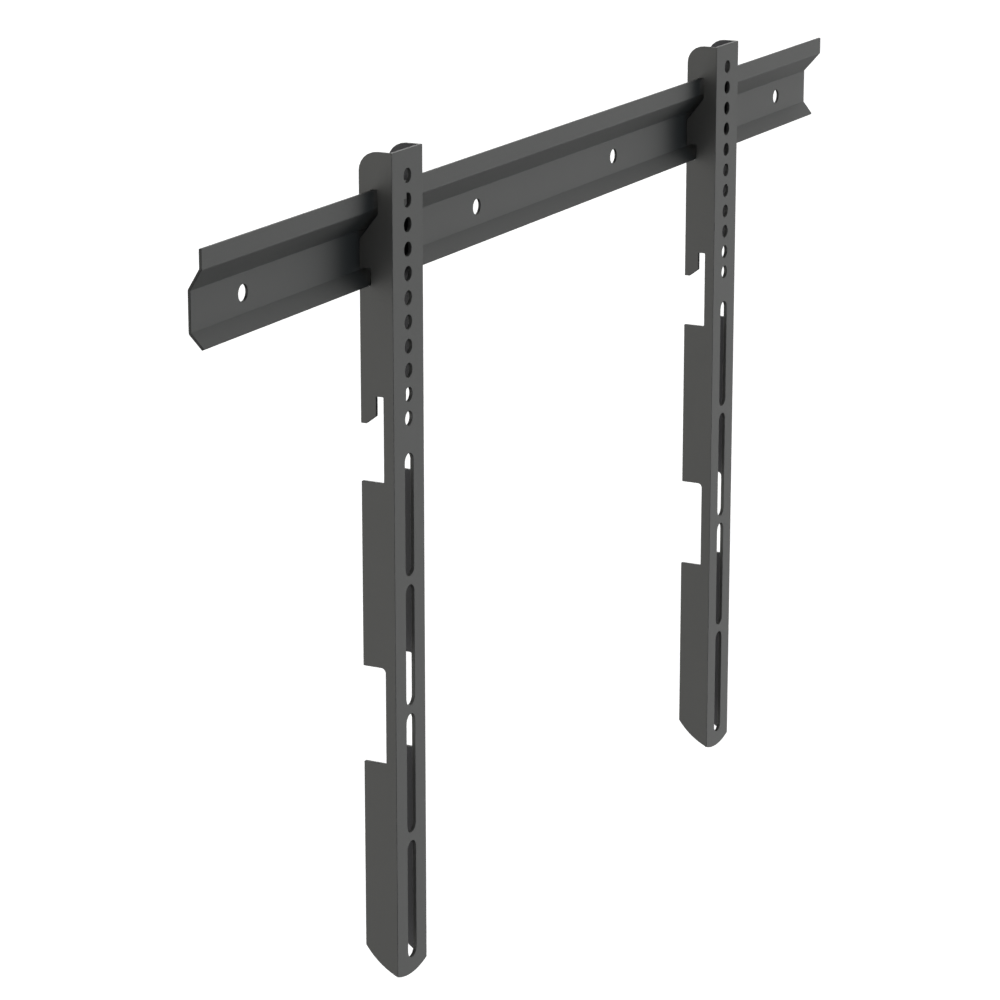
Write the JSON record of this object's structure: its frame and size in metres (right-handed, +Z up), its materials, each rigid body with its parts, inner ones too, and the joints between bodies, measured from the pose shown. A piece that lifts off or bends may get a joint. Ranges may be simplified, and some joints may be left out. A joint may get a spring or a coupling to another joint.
{
  "type": "fixed tv wall bracket",
  "caption": "Folded steel wall rail with two upright channel arms hooked over it, punched with holes and slots to carry a flat screen close to a wall.",
  "frame": {"origin": "middle of the row of wall holes, on the rail's back face, which lies on the wall", "axes": "+X along the rail to the right as seen from the room, +Y into the wall, +Z up"},
  "size_m": [0.7516, 0.0207, 0.4405],
  "materials": {
    "rail_coating": "fine satin powder coat, dark grey",
    "arm_coating": "fine satin powder coat, dark grey"
  },
  "bodies": {
    "root": {"wall_rail": "rail_coating", "left_arm": "arm_coating", "right_arm": "arm_coating"}
  },
  "joints": []
}
